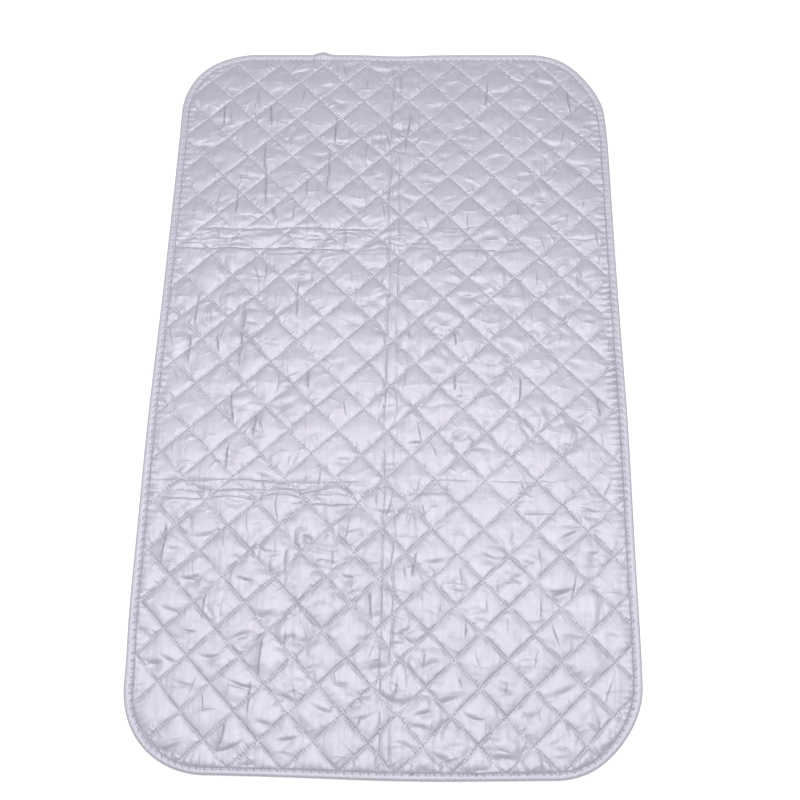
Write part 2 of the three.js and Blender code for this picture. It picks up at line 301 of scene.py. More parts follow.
index_a, index_b = np.meshgrid(np.arange(LAST + 1), np.arange(LAST + 1), indexing="ij")
lattice_a = index_a / STEP - CELL_REACH
lattice_b = index_b / STEP - CELL_REACH
flat_x = CROSSING[0] + lattice_a * RISING_STEP[0] + lattice_b * FALLING_STEP[0]
flat_y = CROSSING[1] + lattice_a * RISING_STEP[1] + lattice_b * FALLING_STEP[1]
row_wander = [ROW_WANDER * soft_noise(seed, flat_x / 22, flat_y / 22) for seed in (20, 21)]
flat_x, flat_y = flat_x + row_wander[0], flat_y + row_wander[1]
flat_inset = inset_at(flat_x, flat_y)
covered = flat_inset > LAYER_EDGE_INSET - GRID_MARGIN
toward_back = (flat_y - core_point(flat_x, flat_y)[1]) / np.maximum(CORNER_RADIUS - flat_inset, 1)
in_from_tape = flat_inset - tape_width(toward_back)

# Points of the grid that the pad covers, in one row: place, distance from the tape, and place in a cell
at_a, at_b = np.nonzero(covered)
pad_x, pad_y = flat_x[covered], flat_y[covered]
pad_round = length_round(pad_x, pad_y)
pad_toward_back = toward_back[covered]
inside_tape = np.maximum(in_from_tape[covered], 0)
cell_a, cell_b = at_a // STEP, at_b // STEP
share_a, share_b = at_a / STEP - cell_a, at_b / STEP - cell_b
cell_x = (share_a - 0.5) * RISING_STEP[0] + (share_b - 0.5) * FALLING_STEP[0]
cell_y = (share_a - 0.5) * RISING_STEP[1] + (share_b - 0.5) * FALLING_STEP[1]

# Distances from the falling rows to the left and right of a point, and from the rising rows above and below
from_left_row = share_a * FALLING_ROW_SPACING
from_right_row = (1 - share_a) * FALLING_ROW_SPACING
from_upper_row = share_b * RISING_ROW_SPACING
from_lower_row = (1 - share_b) * RISING_ROW_SPACING
from_falling_row = np.minimum(from_left_row, from_right_row)
from_rising_row = np.minimum(from_upper_row, from_lower_row)
from_rows = np.minimum(from_falling_row, from_rising_row)
from_sewing = np.minimum(from_rows, inside_tape)


def on_grid(values, elsewhere):
    """Values of the covered points, laid out on the grid."""
    grid = np.full(covered.shape, float(elsewhere))
    grid[covered] = values
    return grid


def per_cell(low, high):
    """A random value for each cell of the quilting, given at every covered point."""
    values = rng.uniform(low, high, (2 * CELL_REACH, 2 * CELL_REACH))
    return values[cell_a, cell_b]


def pad_noise(seed, width, length):
    """Smooth noise over the covered points, with features of that width and length."""
    return soft_noise(seed, pad_x / width, pad_y / length)


def front_share():
    """How far a covered point lies in the front panel: 0 at its fold, 1 a little in front of it."""
    return eased((FOLD_Y["front_fold"] - pad_y) / 60)


# Pillows: a cloth simulation blows the slack face up between its sewn rows

SIM_SCALE = 0.1
SIM_FRAMES = 16
SIM_SLACK = (1.05, 1.035)
SIM_START = 0.6
SIM_START_SPREAD = 0.1
SIM_RISE = 4.0
WADDING_GIVE = 5.0
CLOTH_SETTINGS = {
    "quality": 5,
    "mass": 0.3,
    "tension_stiffness": 15,
    "compression_stiffness": 15,
    "shear_stiffness": 5,
    "bending_stiffness": 0.05,
    "air_damping": 4,
    "use_pressure": True,
    "uniform_pressure_force": 1.6,
}


def new_object(name, data):
    made = bpy.data.objects.new(name, data)
    bpy.context.scene.collection.objects.link(made)
    return made


def grid_faces(kept):
    """Quads, facing up, whose four corners are kept points of a grid, as flat indices."""
    whole = kept[:-1, :-1] & kept[:-1, 1:] & kept[1:, 1:] & kept[1:, :-1]
    index = np.arange(kept.size).reshape(kept.shape)
    corners = (index[:-1, :-1], index[:-1, 1:], index[1:, 1:], index[1:, :-1])
    return np.stack([corner[whole] for corner in corners], 1)


def set_up_cloth(modifier, pinned, rest_key):
    settings = modifier.settings
    for name, value in CLOTH_SETTINGS.items():
        setattr(settings, name, value)
    settings.vertex_group_mass = pinned.name
    settings.effector_weights.gravity = 0
    settings.rest_shape_key = rest_key
    modifier.collision_settings.use_collision = False
    modifier.point_cache.frame_start = 1
    modifier.point_cache.frame_end = SIM_FRAMES + 1


def slack_cloth(spot, sewn, quads):
    """A cloth object over flat points, pinned where it is sewn and cut a little larger than it lies."""
    start = np.where(sewn, 0, SIM_START + rng.normal(0, SIM_START_SPREAD, len(spot)))
    mesh = bpy.data.meshes.new("slack_face")
    mesh.from_pydata(np.column_stack([spot, start]) * SIM_SCALE, [], quads)
    cloth = new_object("slack_face", mesh)
    cloth.shape_key_add(name="Basis")
    rest_key = cloth.shape_key_add(name="slack")
    slack = np.column_stack([spot * SIM_SLACK, np.zeros(len(spot))]) * SIM_SCALE
    rest_key.data.foreach_set("co", slack.ravel())
    pinned = cloth.vertex_groups.new(name="sewn")
    pinned.add(np.flatnonzero(sewn).tolist(), 1.0, "REPLACE")
    set_up_cloth(cloth.modifiers.new("cloth", "CLOTH"), pinned, rest_key)
    return cloth


def simulated_rise():
    """How far the face rises over its rows, on a grid with one step to a stitch."""
    coarse = (slice(None, None, FINE), slice(None, None, FINE))
    x, y, inside = flat_x[coarse], flat_y[coarse], in_from_tape[coarse]
    on_row = (index_a[coarse] % STEP == 0) | (index_b[coarse] % STEP == 0)
    quads = grid_faces(inside > -TAPE_WIDTH / 2)
    used, flat_quads = np.unique(quads, return_inverse=True)
    spot = np.column_stack([x.ravel()[used], y.ravel()[used]])
    sewn = (on_row | (inside <= 0)).ravel()[used]
    cloth = slack_cloth(spot, sewn, flat_quads.reshape(-1, 4))
    for frame_number in range(1, SIM_FRAMES + 1):
        bpy.context.scene.frame_set(frame_number)
    settled_mesh = cloth.evaluated_get(bpy.context.evaluated_depsgraph_get()).data
    points = np.zeros(len(used) * 3, np.float32)
    settled_mesh.vertices.foreach_get("co", points)
    bpy.data.objects.remove(cloth)
    bpy.context.scene.frame_set(1)
    rise = np.zeros(x.size)
    rise[used] = points[2::3] / SIM_SCALE
    return rise.reshape(x.shape)


def doubled(coarse, per_side):
    """A grid with twice the steps along its first axis: smooth within each cell, sharp along the rows."""
    fine = np.zeros((2 * len(coarse) - 1, coarse.shape[1]))
    fine[::2] = coarse
    left, right = coarse[:-1], coarse[1:]
    before = np.vstack([coarse[:1], coarse[:-2]])
    after = np.vstack([coarse[2:], coarse[-1:]])
    number = np.arange(len(left))[:, None]
    at_left_row = number % per_side == 0
    at_right_row = number % per_side == per_side - 1
    smooth = (9 * (left + right) - before - after) / 16
    from_left = (3 * left + 6 * right - after) / 8
    from_right = (3 * right + 6 * left - before) / 8
    fine[1::2] = np.where(at_left_row, from_left, np.where(at_right_row, from_right, smooth))
    return fine


def refined(coarse):
    """A grid with one step to a stitch, brought to the fine grid."""
    per_side = STITCHES_PER_SIDE
    while per_side < STEP:
        coarse = doubled(doubled(coarse, per_side).T, per_side).T
        per_side *= 2
    return coarse


def pillow_shares():
    """The share of a pillow's full rise at each covered point: the wadding flattens the tops a little."""
    rise = refined(simulated_rise())[covered]
    rise = np.where(inside_tape > 0, rise, 0).clip(0)
    softening = ROW_SOFTENING * (1 - 0.6 * front_share())
    rise = rise * (1 - softening * np.exp(-from_rows / 3))
    return (1 - np.exp(-rise / WADDING_GIVE)) / (1 - math.exp(-SIM_RISE / WADDING_GIVE))


# Wrinkles and creases of the face, each a height over every covered point

def pleat(away, steep, gentle):
    """A sharp ridge with a steep side, where away is positive, and a gentle one."""
    return np.where(away > 0, np.exp(-np.abs(away) / steep), np.exp(-np.abs(away) / gentle))


def hollow(away, steep, gentle):
    """A soft hollow with a steep side, where away is positive, and a gentle one."""
    return bump_of(away / np.where(away > 0, steep, gentle))


def tuck(away):
    """A small fold of slack: a ridge that falls off gently, with a sharp valley at its other side."""
    ridge = pleat(away, 0.5, 1.8)
    valley = bump_of((away - 0.9) / 0.42)
    return 0.6 * ridge - 1.2 * valley


def seam_lips():
    """The cloth lies flat under the thread and turns up sharply beside it, most of all in the front panel."""
    from_upper = np.minimum(from_upper_row, from_right_row)
    from_lower = np.minimum(from_lower_row, from_left_row)
    lower_side = eased(0.5 + (from_upper - from_lower) / 14)
    sharp = SEAM_LIP * (0.45 + front_share() * (0.35 * lower_side - 0.1))
    sharp = sharp * np.clip(0.7 + 0.9 * pad_noise(39, 8, 8), 0.1, 1.3)
    flat_strip, rise_over = 0.6, 0.7
    return sharp * eased((from_rows - flat_strip) / rise_over)


def stitch_puckers():
    """Each stitch draws the face in at its needle holes, and the cloth beside it stands up between them."""
    total = np.zeros_like(pad_x)
    strength = 0.9 - 0.3 * front_share()
    for along, cross, distance in ((at_b, at_a, from_falling_row), (at_a, at_b, from_rising_row)):
        row = np.rint(cross / STEP).astype(int)
        side = (cross % STEP < STEP / 2).astype(int)
        chances = rng.uniform(0, 1, (2, 2 * CELL_REACH + 1, LAST // FINE + 1))
        sizes = chances[side, row, along // FINE] ** 2
        raised = 0.2 - 0.8 * np.cos(2 * math.pi * along / FINE)
        reach = per_cell(0.9, 2.8)
        grouped = np.clip(0.6 + 0.9 * soft_noise(40, along / 21, row * 3.7), 0.15, 1.3)
        total += strength * grouped * sizes * raised * np.exp(-distance / reach)
        total -= NEEDLE_HOLE * (along % FINE == 0) * bump_of(distance / 0.6)
    return total


def drag_lines():
    """Short ridges that run into a cell from its four rows."""
    total = np.zeros_like(pad_x)
    sides = [
        (from_left_row, from_upper_row),
        (from_right_row, from_upper_row),
        (from_upper_row, from_left_row),
        (from_lower_row, from_left_row),
    ]
    for distance, along in sides:
        for _ in range(3):
            across = along - per_cell(3, 32) - distance * per_cell(-0.4, 0.4)
            reach = per_cell(1.5, 4)
            ramp = distance / reach * np.exp(1 - distance / reach)
            total += per_cell(-0.4, 0.5).clip(0) * ramp * bump_of(across / per_cell(0.9, 2.0))
    return total


def short_wrinkles():
    """Small sharp wrinkles inside the cells, most of them lengthwise."""
    total = np.zeros_like(pad_x)
    for _ in range(3):
        height = per_cell(-2.4, 0.8).clip(0)
        away = cell_x - per_cell(-12, 12) - per_cell(-0.3, 0.3) * cell_y
        away = away - per_cell(-0.012, 0.012) * cell_y ** 2
        window = bump_of((cell_y - per_cell(-9, 9)) / per_cell(5, 12))
        total += height * window * tuck(away * np.sign(per_cell(-1, 1)))
    return total


def cross_arcs():
    """Bowed ridges across the lower part of some cells."""
    total = np.zeros_like(pad_x)
    for _ in range(2):
        height = per_cell(-0.9, 0.7).clip(0)
        middle = per_cell(-13, 4)
        bowed = cell_y - middle - per_cell(-0.025, 0.025) * cell_x ** 2 - per_cell(-0.25, 0.25) * cell_x
        window = bump_of(cell_x / per_cell(4, 10))
        total += height * window * pleat(-bowed, per_cell(0.8, 1.6), per_cell(1.5, 3))
    return total


def dents():
    """Hollows where the slack face sinks: each is sharp at its back and runs out gently to the front."""
    total = np.zeros_like(pad_x)
    share = 0.3 + 0.2 * front_share()
    for _ in range(2):
        deep = (per_cell(0, 1) < share) * per_cell(0.4, 1.4)
        sideways = cell_x - per_cell(-10, 10)
        bowed = cell_y - per_cell(-14, 2) - per_cell(-0.02, 0.03) * sideways ** 2
        bowed = bowed - per_cell(-0.4, 0.4) * sideways
        window = bump_of(sideways / per_cell(6, 12))
        total -= deep * window * hollow(bowed, per_cell(2, 4), per_cell(5, 9))
    return total


def crumples():
    """Sharp little valleys of crumpled satin, in patches."""
    patch = np.clip(0.3 + 1.2 * pad_noise(94, 40, 40), 0, 1)
    warp = 0.4 * pad_noise(95, 19, 19)
    folds = np.abs(soft_noise(96, pad_x / 13 + warp, pad_y / 16 + warp))
    fine = np.abs(soft_noise(97, pad_x / 6 + warp, pad_y / 9))
    return patch * (1.1 * folds + 0.25 * fine - 0.45)


def long_wrinkles():
    """Lengthwise wrinkles that run on from cell to cell."""
    total = np.zeros_like(pad_x)
    for number, (x, back_y, length, lean) in enumerate(LONG_WRINKLES):
        near = (np.abs(pad_x - x) < LONG_WRINKLE_REACH) & (pad_y < back_y) & (pad_y > back_y - length)
        along = (back_y - pad_y[near]) / length
        wander = 0.9 * soft_noise(50, pad_y[near] / 14, number)
        away = pad_x[near] - x - lean * along - wander
        window = np.clip(5 * along, 0, 1) * np.clip(5 * (1 - along), 0, 1)
        total[near] += LONG_WRINKLE_HEIGHT * window * tuck(away * (-1) ** number)
    return total


def fold_creases():
    """Valleys that folding has pressed across the pad: each runs down from behind and up again sharply."""
    total = np.zeros_like(pad_x)
    run_out = 16
    for number, (fold, behind, depth, flank, from_x, to_x) in enumerate(CREASES):
        line_y = FOLD_Y[fold] + behind
        near = (np.abs(pad_y - line_y) < 4 * flank + 6) & (pad_x > from_x) & (pad_x < to_x)
        x, y = pad_x[near], pad_y[near]
        wander = 1.6 * soft_noise(60, x / 26, number) + 0.8 * soft_noise(61, x / 9, number)
        window = np.clip((x - from_x) / run_out, 0, 1) * np.clip((to_x - x) / run_out, 0, 1)
        depth_here = depth * (1.05 + 0.45 * soft_noise(62, x / 18, number))
        total[near] -= window * depth_here * pleat(line_y + wander - y, 0.8, flank)
    return total


def fold_crumples():
    """Crosswise crumples round each fold, most on its left half, and lengthwise ones down the middle."""
    total = np.zeros_like(pad_x)
    warp = 0.4 * pad_noise(63, 12, 12)
    for number, fold in enumerate(FOLD_Y.values()):
        near = bump_of((pad_y - fold) / 15) * (0.75 - 0.4 * np.tanh(pad_x / 60))
        total += near * (np.abs(soft_noise(64 + number, pad_x / 26 + warp, pad_y / 6 + warp)) - 0.35)
    middle = bump_of((pad_x - 4) / 11)
    return 1.1 * total + 0.6 * middle * (np.abs(soft_noise(66, pad_x / 5 + warp, pad_y / 24)) - 0.35)


def centre_crease():
    """The pair of fine lines down the middle, where the pad has been folded lengthwise."""
    total = np.zeros_like(pad_x)
    near = np.abs(pad_x) < 30
    x, y = pad_x[near], pad_y[near]
    for number, (line_x, depth) in enumerate(CENTRE_CREASES):
        wander = 1.3 * soft_noise(70, y / 30, number) + 0.6 * soft_noise(71, y / 9, number)
        depth_here = depth * (0.75 + 0.5 * soft_noise(72, y / 21, number))
        total[near] -= depth_here * pleat((x - line_x - wander) * (-1) ** number, 0.6, 1.6)
    return total


def lengthwise_ripples():
    """Faint pleats of the satin along its warp."""
    strength = 0.06 + 0.06 * pad_noise(80, 45, 45)
    return strength * pad_noise(81, 2.6, 40)


def rim_gathers():
    """The gathers of the rim at every covered point, from about -1 to 1."""
    return rim_wave(pad_round) * rim_strength(pad_x, pad_y)


def rim_puckers():
    """The gathers of the rim, running on into the face."""
    near_seam = 0.6 + 0.5 * np.exp(-inside_tape / 2)
    return near_seam * rim_gathers() * np.clip(inside_tape, 0, 1) * bump_of(inside_tape / 9)


def row_heights():
    """Height of the rows: beside the tape the face comes up at once on a gather, and slowly between two."""
    gathers = rim_gathers()
    run = np.clip(0.5 - 0.6 * gathers - 1.5 * pad_toward_back, 0.2, 2.6)
    tucked = RIM_TOP + (TUCK_RISE + 0.55 * gathers) * np.clip(in_from_tape[covered] + 1, 0, 1)
    return tucked + (ROW_TOP - tucked) * (1 - np.exp(-inside_tape / run))


def waves():
    """Broad waves in which the whole pad lies, rows and pillows alike."""
    broad = 0.4 * pad_noise(98, 70, 70) + 0.25 * pad_noise(99, 27, 27)
    return broad * np.clip(inside_tape / 20, 0, 1)


def rumple():
    """Unevenness of the wadding and of the satin over it."""
    return 0.3 * pad_noise(90, 60, 60) + 0.25 * pad_noise(91, 24, 24) + 0.2 * pad_noise(92, 9, 15)


def face_height(pillows):
    """Top of the face over every covered point."""
    rows = row_heights() + seam_lips() + waves()
    stretched = 1 - 0.8 * pad_toward_back.clip(0) * np.exp(-inside_tape / 18)
    crown = PILLOW_RISE * (1 + 0.25 * front_share()) * per_cell(0.86, 1.08)
    swell = (crown + rumple()) * pillows * stretched
    free = np.clip(from_sewing / 2.5, 0, 1)
    held = 0.25 + 0.75 * free
    lively = 1 - 0.15 * eased((pad_y - FOLD_Y["back_fold"]) / 30) + 0.3 * front_share()
    loose = drag_lines() + short_wrinkles()
    loose = loose + lively * (cross_arcs() + dents() + crumples()) + lengthwise_ripples()
    pressed = fold_creases() + fold_crumples() + centre_crease() + long_wrinkles()
    inside = np.clip(inside_tape / 3, 0, 1)
    height = rows + swell + inside * (free * loose + held * pressed + stitch_puckers()) + rim_puckers()
    over = np.maximum(height - TALLEST_FACE + TOP_ROUNDING, 0)
    return np.maximum(height - over + TOP_ROUNDING * np.tanh(over / TOP_ROUNDING), RIM_TOP - 0.2)


# How the flat cut lies, and which panels carry its parts

BACK_DIP = 2.0
FRONT_BULGE = 3.0
FRONT_DRAW_IN = 1.3
SIDE_BULGE = 1.6

# Corners that lie a little in or out of the flat cut: place, and how far in along X and Y
CORNER_DRAW = [
    ((222, 356), (5.0, 3.0)),
    ((-215, 370), (-2.5, -2.0)),
    ((-228, -315), (3.0, 0.5)),
    ((218, -358), (3.0, 2.6)),
]
CORNER_REACH = (36, 46)


def settled(x, y):
    """Where a point of the flat cut lies: the edges bow, and the lengthwise crease draws the back in."""
    near_back = np.clip((y - 330) / 70, 0, 1) ** 2
    near_front = np.clip((-y - 300) / 100, 0, 1) ** 2
    across = (x / HALF_SIZE[0]) ** 3
    moved_x = x + SIDE_BULGE * across * bump_of((y + 60) / 110)
    moved_y = y - BACK_DIP * near_back * bump_of((x - 6) / 34)
    moved_y += near_front * (FRONT_DRAW_IN - FRONT_BULGE * bump_of((x - 30) / 110))
    for (corner_x, corner_y), (in_x, in_y) in CORNER_DRAW:
        near = bump_of((x - corner_x) / CORNER_REACH[0]) * bump_of((y - corner_y) / CORNER_REACH[1])
        moved_x -= math.copysign(in_x, in_x * corner_x) * near
        moved_y -= math.copysign(in_y, in_y * corner_y) * near
    return moved_x, moved_y


BACK_SEAM_Y = FOLD_Y["back_fold"] + BEND_HALF_WIDTH + SEAM_CLEARANCE
FRONT_SEAM_Y = FOLD_Y["front_fold"] + BEND_HALF_WIDTH + SEAM_CLEARANCE
ZONES = {
    "back": (BACK_SEAM_Y, math.inf),
    "middle": (FRONT_SEAM_Y, BACK_SEAM_Y),
    "front": (-math.inf, FRONT_SEAM_Y),
}


def zone_mask(zone, y):
    """Which points belong to a zone. Zones meet just behind the strips that bend, where nothing bends."""
    from_y, to_y = ZONES[zone]
    return (y > from_y) & (y <= to_y)


def carry(piece, zone):
    """Fixes a piece of the back zone to the back panel; a piece of the middle or front zone has its place
    baked into its mesh and is fixed to no panel.
    """
    if zone == "back":
        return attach(piece, "back_panel")
    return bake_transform(piece)


# Meshes of the layers

def new_mesh(name, points, faces, material):
    """A smooth mesh from points in millimetres and arrays of faces, each with one number of corners."""
    mesh = bpy.data.meshes.new(name)
    corners = np.concatenate([part.ravel() for part in faces])
    counts = np.concatenate([np.full(len(part), part.shape[1]) for part in faces])
    mesh.vertices.add(len(points))
    mesh.vertices.foreach_set("co", (points * MM).astype(np.float32).ravel())
    mesh.loops.add(len(corners))
    mesh.loops.foreach_set("vertex_index", corners.astype(np.int32))
    mesh.polygons.add(len(counts))
    mesh.polygons.foreach_set("loop_start", (np.cumsum(counts) - counts).astype(np.int32))
    mesh.polygons.foreach_set("use_smooth", np.ones(len(counts), bool))
    mesh.materials.append(material)
    mesh.update(calc_edges=True)
    return mesh


def set_uv(mesh, flat):
    """Gives each point its place on the flat cut, in metres, as its UV."""
    corner = np.zeros(len(mesh.loops), np.int32)
    mesh.loops.foreach_get("vertex_index", corner)
    layer = mesh.uv_layers.new(name="flat_cut")
    layer.data.foreach_set("uv", (flat[corner] * MM).astype(np.float32).ravel())


def crisp_slope(height, axis):
    """The slope along an axis of the grid, taken more from the steeper side of each point."""
    before = np.diff(height, axis=axis, prepend=np.take(height, [0], axis))
    after = np.diff(height, axis=axis, append=np.take(height, [-1], axis))
    steeper = np.where(np.abs(before) > np.abs(after), before, after)
    return 0.2 * (before + after) + 0.6 * steeper


def surface_normals(height):
    """Unit normals, facing up, of a height over the grid."""
    slope_a, slope_b = (crisp_slope(height, axis) for axis in (0, 1))
    (xa, xb), (ya, yb) = np.linalg.inv(np.array([RISING_STEP, FALLING_STEP]) / STEP)
    slope_x = xa * slope_a + xb * slope_b
    slope_y = ya * slope_a + yb * slope_b
    return unit(np.stack([-slope_x, -slope_y, np.ones_like(height)], -1))


def stitch_squares():
    """First corners of the squares, one stitch wide, that the layers cover."""
    corner = flat_inset[::FINE, ::FINE] > LAYER_EDGE_INSET - SQUARE_MARGIN
    whole = corner[:-1, :-1] & corner[:-1, 1:] & corner[1:, :-1] & corner[1:, 1:]
    return np.argwhere(whole) * FINE


def rim_of(squares):
    """Directed outer edges of stitch squares, as pairs of grid points with the square on their left."""
    f = FINE
    turns = [((0, 0), (0, f)), ((0, f), (f, f)), ((f, f), (f, 0)), ((f, 0), (0, 0))]
    edges = np.concatenate([np.stack([squares + start, squares + end], 1) for start, end in turns])
    width = LAST + 1
    start = edges[:, 0, 0] * width + edges[:, 0, 1]
    end = edges[:, 1, 0] * width + edges[:, 1, 1]
    outer = ~np.isin(start * width * width + end, end * width * width + start)
    return edges[outer]


def along_edges(edges, k):
    """The grid points k fine steps along edges."""
    return edges[:, 0] + (edges[:, 1] - edges[:, 0]) * k // FINE


def cut_edge(squares):
    """Moves the outermost grid points onto the layers' cut edge, under the tape."""
    edges = rim_of(squares)
    a, b = np.unique(np.concatenate([along_edges(edges, k) for k in range(FINE)]), axis=0).T
    core_x, core_y = core_point(flat_x[a, b], flat_y[a, b])
    widen = (CORNER_RADIUS - LAYER_EDGE_INSET) / (CORNER_RADIUS - flat_inset[a, b])
    flat_x[a, b] = core_x + (flat_x[a, b] - core_x) * widen
    flat_y[a, b] = core_y + (flat_y[a, b] - core_y) * widen


def picked(grid, points):
    """Values of a grid at points of it."""
    return grid[points[..., 0], points[..., 1]]


def numbered(points):
    """An index over the grid for those points, in order, and the points once each."""
    chosen = np.zeros(covered.shape, bool)
    chosen[points[:, 0], points[:, 1]] = True
    index = np.cumsum(chosen).reshape(chosen.shape) - 1
    return index, np.argwhere(chosen)


def corners_of(squares, step):
    """Corners, facing up, of the squares of that step inside stitch squares."""
    offsets = range(0, FINE, step)
    turn = np.array([(0, 0), (0, step), (step, step), (step, 0)])
    return np.concatenate([squares[:, None] + turn + (i, j) for i in offsets for j in offsets])


def normals_at(normals, points, otherwise):
    """Normals of a grid at points of it, or one normal for all of them where there is no grid."""
    if normals is None:
        return np.tile(otherwise, (len(points), 1))
    return picked(normals, points)


def layer_piece(name, zone, squares, upper, lower, material, normals=None, low_normals=None):
    """A closed sheet between two heights. A side that normals are given for is finer than a stitch."""
    step = FINE if normals is None else 1
    low_step = FINE if low_normals is None else FINE // 2
    own = squares[zone_mask(zone, picked(flat_y, squares + FINE // 2))]
    top_quads, low_quads = corners_of(own, step), corners_of(own, low_step)
    top_index, top_points = numbered(top_quads.reshape(-1, 2))
    low_index, low_points = numbered(low_quads.reshape(-1, 2))
    low_index = low_index + len(top_points)
    edges = rim_of(own)
    top_rim = [picked(top_index, along_edges(edges, k)) for k in range(FINE, -1, -step)]
    low_rim = [picked(low_index, along_edges(edges, k)) for k in range(0, FINE + 1, low_step)]
    wall = np.stack([*top_rim, *low_rim], 1)
    points = np.concatenate([top_points, low_points])
    flat = np.column_stack([picked(flat_x, points), picked(flat_y, points)])
    height = np.concatenate([picked(upper, top_points), picked(lower, low_points)])
    faces = [picked(top_index, top_quads), picked(low_index, low_quads)[:, ::-1], wall]
    mesh = new_mesh(name, np.column_stack([*settled(*flat.T), height]), faces, material)
    set_uv(mesh, flat)
    sides = [normals_at(normals, top_points, UP), normals_at(low_normals, low_points, -UP)]
    mesh.normals_split_custom_set_from_vertices(np.concatenate(sides))
    return new_object(name, mesh)


# Thread: every stitch is a short round length of thread, a little arched

STITCH_RINGS = np.array([0.0, 0.14, 0.5, 0.86, 1.0])
STITCH_GIRTH = np.array([0.35, 0.9, 1.0, 0.9, 0.35])
STITCH_GAP = 0.1
QUILTING_THREAD = 0.28
BINDING_THREAD = 0.24


def thread_mesh(name, starts, ends, radius, arch, sides, material):
    """One mesh of stitches from start to end points, arched up (or down where arch is negative)."""
    rings = len(STITCH_RINGS)
    count = rings * sides
    along = ends - starts
    forward = unit(along)
    side = unit(np.cross(forward, UP))
    above = np.cross(side, forward)
    turn = np.arange(sides) / sides * 2 * math.pi
    lift = arch * 4 * STITCH_RINGS * (1 - STITCH_RINGS)
    centre = starts[:, None] + along[:, None] * STITCH_RINGS[:, None] + lift[:, None] * UP
    round_it = np.cos(turn)[:, None] * side[:, None] + np.sin(turn)[:, None] * above[:, None]
    points = centre[:, :, None] + radius * STITCH_GIRTH[:, None, None] * round_it[:, None]
    base = (np.arange(len(starts)) * count)[:, None, None]
    ring, k = np.meshgrid(np.arange(rings - 1), np.arange(sides), indexing="ij")
    here, ahead = ring * sides, (ring + 1) * sides
    after = (k + 1) % sides
    quad = np.stack([here + k, ahead + k, ahead + after, here + after], -1)
    quads = (base + quad.reshape(-1, 4)).reshape(-1, 4)
    caps = np.concatenate([base[:, :, 0] + np.arange(sides), base[:, :, 0] + count - 1 - np.arange(sides)])
    mesh = new_mesh(name, points.reshape(-1, 3), [quads, caps], material)
    reach = np.repeat(np.linalg.norm(along, axis=1), count)
    length = np.repeat(np.tile(STITCH_RINGS, len(starts)), sides) * reach
    around = np.tile(turn * radius, len(starts) * rings)
    set_uv(mesh, np.column_stack([length, around]))
    return mesh


def add_thread(name, zone, starts, ends, radius, arch, sides, material):
    """A piece of thread, whose stitches stop a little short of their holes."""
    gap = STITCH_GAP * (ends - starts)
    piece = new_object(name, thread_mesh(name, starts + gap, ends - gap, radius, arch, sides, material))
    carry(piece, zone)


def row_stitches(height, lift):
    """Start and end points of the quilting stitches on a surface: from hole to hole along every row."""
    surface = np.stack([*settled(flat_x, flat_y), height + lift], -1)
    inside = in_from_tape > -0.5
    starts, ends = [], []
    for across, along, ahead in ((index_a, index_b, (0, FINE)), (index_b, index_a, (FINE, 0))):
        holes = inside & (across % STEP == 0) & (along % FINE == 0) & (along < LAST)
        first = np.argwhere(holes)
        after = first + ahead
        kept = picked(inside, after)
        starts.append(first[kept])
        ends.append(after[kept])
    return picked(surface, np.concatenate(starts)), picked(surface, np.concatenate(ends))


def quilting_threads(top, bottom, material):
    """The needle thread on the face and the bobbin thread on the backing."""
    looks = [
        ("quilting_thread", top, 0.05, 0.3 + NEEDLE_HOLE, 5),
        ("quilting_bobbin", bottom, 0.12, -0.12, 4),
    ]
    for name, height, lift, arch, sides in looks:
        starts, ends = row_stitches(height, lift)
        middle_y = (starts[:, 1] + ends[:, 1]) / 2
        for zone in ZONES:
            own = zone_mask(zone, middle_y)
            add_thread(f"{name}_{zone}", zone, starts[own], ends[own], QUILTING_THREAD, arch, sides, material)


# Binding: a tape folded round the rim, sewn through both of its halves

STATION_SPACING = 0.85
STITCHES_PER_GATHER = 2
BINDING_STITCH = GATHER_SPACING / STITCHES_PER_GATHER
HOLE_DEPTH = 1.6
HOLE_SLANT = 0.5
TURN_INSET = 2.9


def tape_profile():
    """The tape's outside, over the rim and then under the pad.

    Each point has its distance in from the edge, its height, and its share of the waves and of the holes.
    """
    h, nose = BINDING_HEIGHT, BINDING_HEIGHT / 2
    top = [
        (TAPE_WIDTH, h - 0.8, 1, 0.45), (TAPE_WIDTH - 0.35, h - 0.6, 1, 0.8),
        (SEAM_INSET + 0.35, h - 0.5, 1, 1), (SEAM_INSET, h - 0.45, 1, 1),
        (SEAM_INSET - 0.4, h - 0.3, 1, 0.9), (SEAM_INSET - 0.9, h - 0.15, 0.9, 0.45),
        (4.4, h - 0.02, 0.7, 0.1), (3.6, h + 0.02, 0.5, 0), (TURN_INSET, h, 0.35, 0),
    ]
    turn = []
    for angle in np.radians(np.arange(90, -91, -22.5)):
        along, up = math.cos(angle), math.sin(angle)
        turn.append((nose - nose * along, nose + nose * up, 0.2 * max(up, 0), 0))
    low = [
        (3.2, 0, 0, 0), (4.4, 0.02, 0, 0), (SEAM_INSET - 0.5, 0.2, 0, 0), (SEAM_INSET, 0.42, 0, 0),
        (SEAM_INSET + 0.4, 0.2, 0, 0), (TAPE_WIDTH - 0.3, 0.06, 0, 0), (TAPE_WIDTH, 0.05, 0, 0),
    ]
    return top + turn, low


def facing(section):
    """Unit directions out of the tape along its section, as distance in from the edge and height."""
    ahead = np.gradient(section[:, :2], axis=0)
    return unit(np.column_stack([ahead[:, 1], -ahead[:, 0]]))


def tape_section():
    """The tape's outside, and its inside in the other direction."""
    over, under = tape_profile()
    outside = np.array(over + under)
    inside = outside.copy()
    inside[:, :2] -= TAPE_THICKNESS * facing(outside)
    return outside, inside[::-1]


